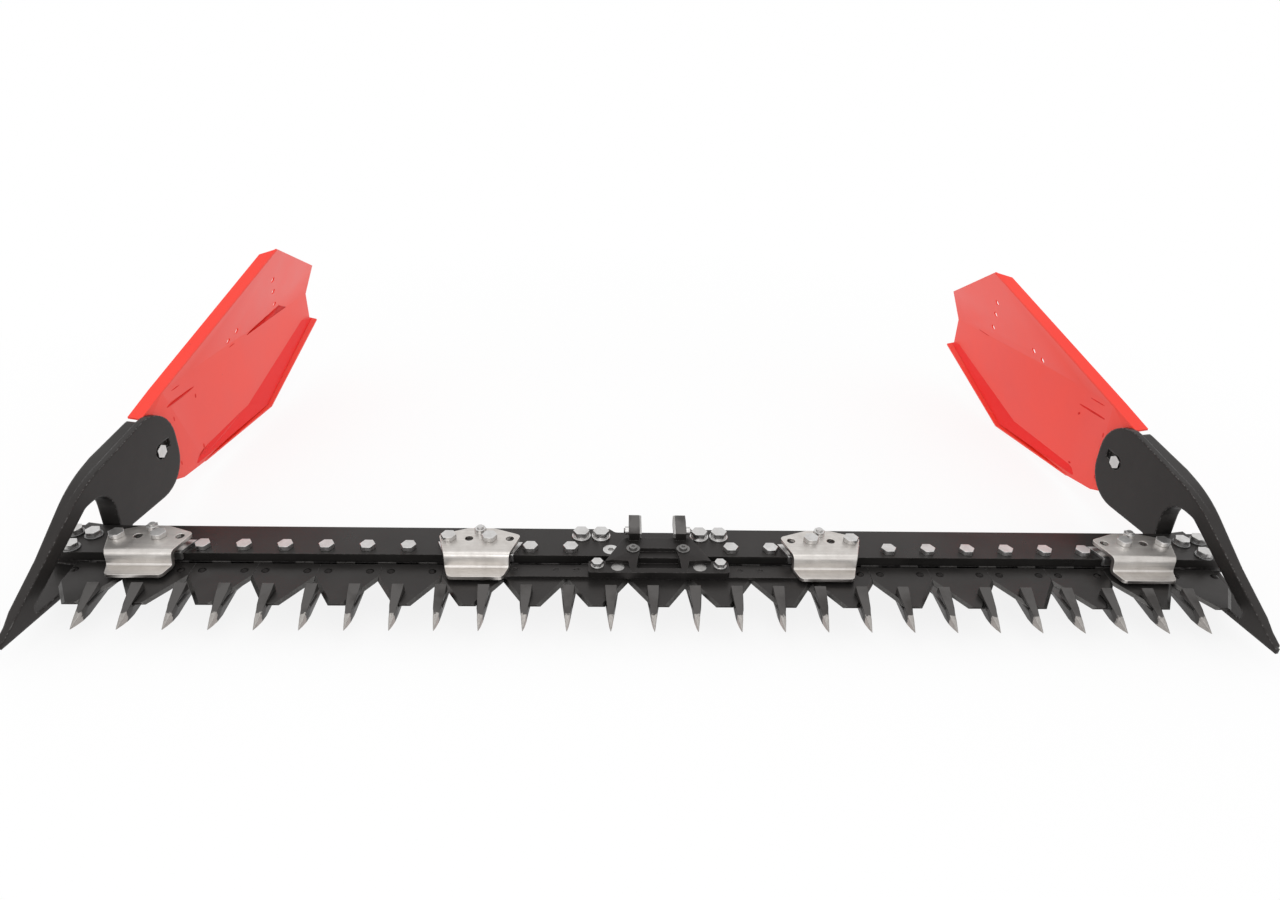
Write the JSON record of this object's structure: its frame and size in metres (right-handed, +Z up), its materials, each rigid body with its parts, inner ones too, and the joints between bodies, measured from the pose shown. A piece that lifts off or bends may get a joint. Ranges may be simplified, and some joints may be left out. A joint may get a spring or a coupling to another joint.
{
  "type": "sickle bar mower",
  "caption": "Middle-cut sickle bar mower attachment: flat cutter bar with guard fingers, sliding knife with drive fork, end shoes and red swath boards.",
  "frame": {"origin": "middle of the carrier bolt row, on the underside of the cutter bar", "axes": "+X along the bar to the right as seen from behind the fingers' front, -Y towards the finger tips, +Z up"},
  "size_m": [1.5054, 0.851, 0.2968],
  "materials": {
    "bar_black": "satin",
    "finger_black": "satin",
    "shoe_black": "satin",
    "head_black": "satin",
    "knife_steel": "satin",
    "red_paint": "gloss",
    "galvanised": "satin",
    "zinc": "satin",
    "rivet_steel": "satin",
    "dark_steel": "satin"
  },
  "bodies": {
    "frame": {"cutter_bar": "bar_black", "guard_fingers": "finger_black", "finger_bolts": "zinc", "clip_bolts": "zinc", "finger_screws": "zinc", "finger_nuts": "zinc", "carrier_bolts": "zinc", "carrier_washers": "zinc", "clip_1": "galvanised", "clip_2": "galvanised", "clip_3": "galvanised", "clip_4": "galvanised", "wear_plate_1": "zinc", "wear_plate_2": "zinc", "wear_plate_3": "zinc", "wear_plate_4": "zinc", "clip_spacers": "zinc", "clip_adjusters": "zinc", "clip_locknuts": "zinc", "shoe_left": "shoe_black", "shoe_right": "shoe_black", "shoe_bolts": "zinc", "shoe_washers": "zinc", "shoe_nuts": "zinc", "pivot_bolts": "zinc", "pivot_washers": "zinc", "pivot_nuts": "zinc"},
    "knife": {"knife_back": "knife_steel", "knife_sections": "knife_steel", "section_rivets": "knife_steel", "knife_strip": "knife_steel", "drive_head": "head_black", "head_rivets": "rivet_steel", "head_bolts": "zinc", "head_washers": "zinc", "foot_screws": "dark_steel", "foot_washers": "dark_steel", "fork_plate_left": "rivet_steel", "fork_plate_right": "rivet_steel", "fork_bolts": "dark_steel", "fork_nuts": "zinc"},
    "board_left": {"board_left": "red_paint"},
    "board_right": {"board_right": "red_paint"}
  },
  "joints": [
    {"name": "knife_slide", "type": "slide", "parent": "frame", "child": "knife", "axis": [1, 0, 0], "range_m": [-0.0339, 0.0169]},
    {"name": "board_right_pivot", "type": "hinge", "parent": "frame", "child": "board_right", "pos_m": [0.66022, 0.12105, 0.0638], "axis": [0.9806, 0.1959, 0], "range_deg": [-3, 4.5]},
    {"name": "board_left_pivot", "type": "hinge", "parent": "frame", "child": "board_left", "pos_m": [-0.66022, 0.12105, 0.0638], "axis": [0.9806, -0.1959, 0], "range_deg": [-6, 1.5]}
  ]
}
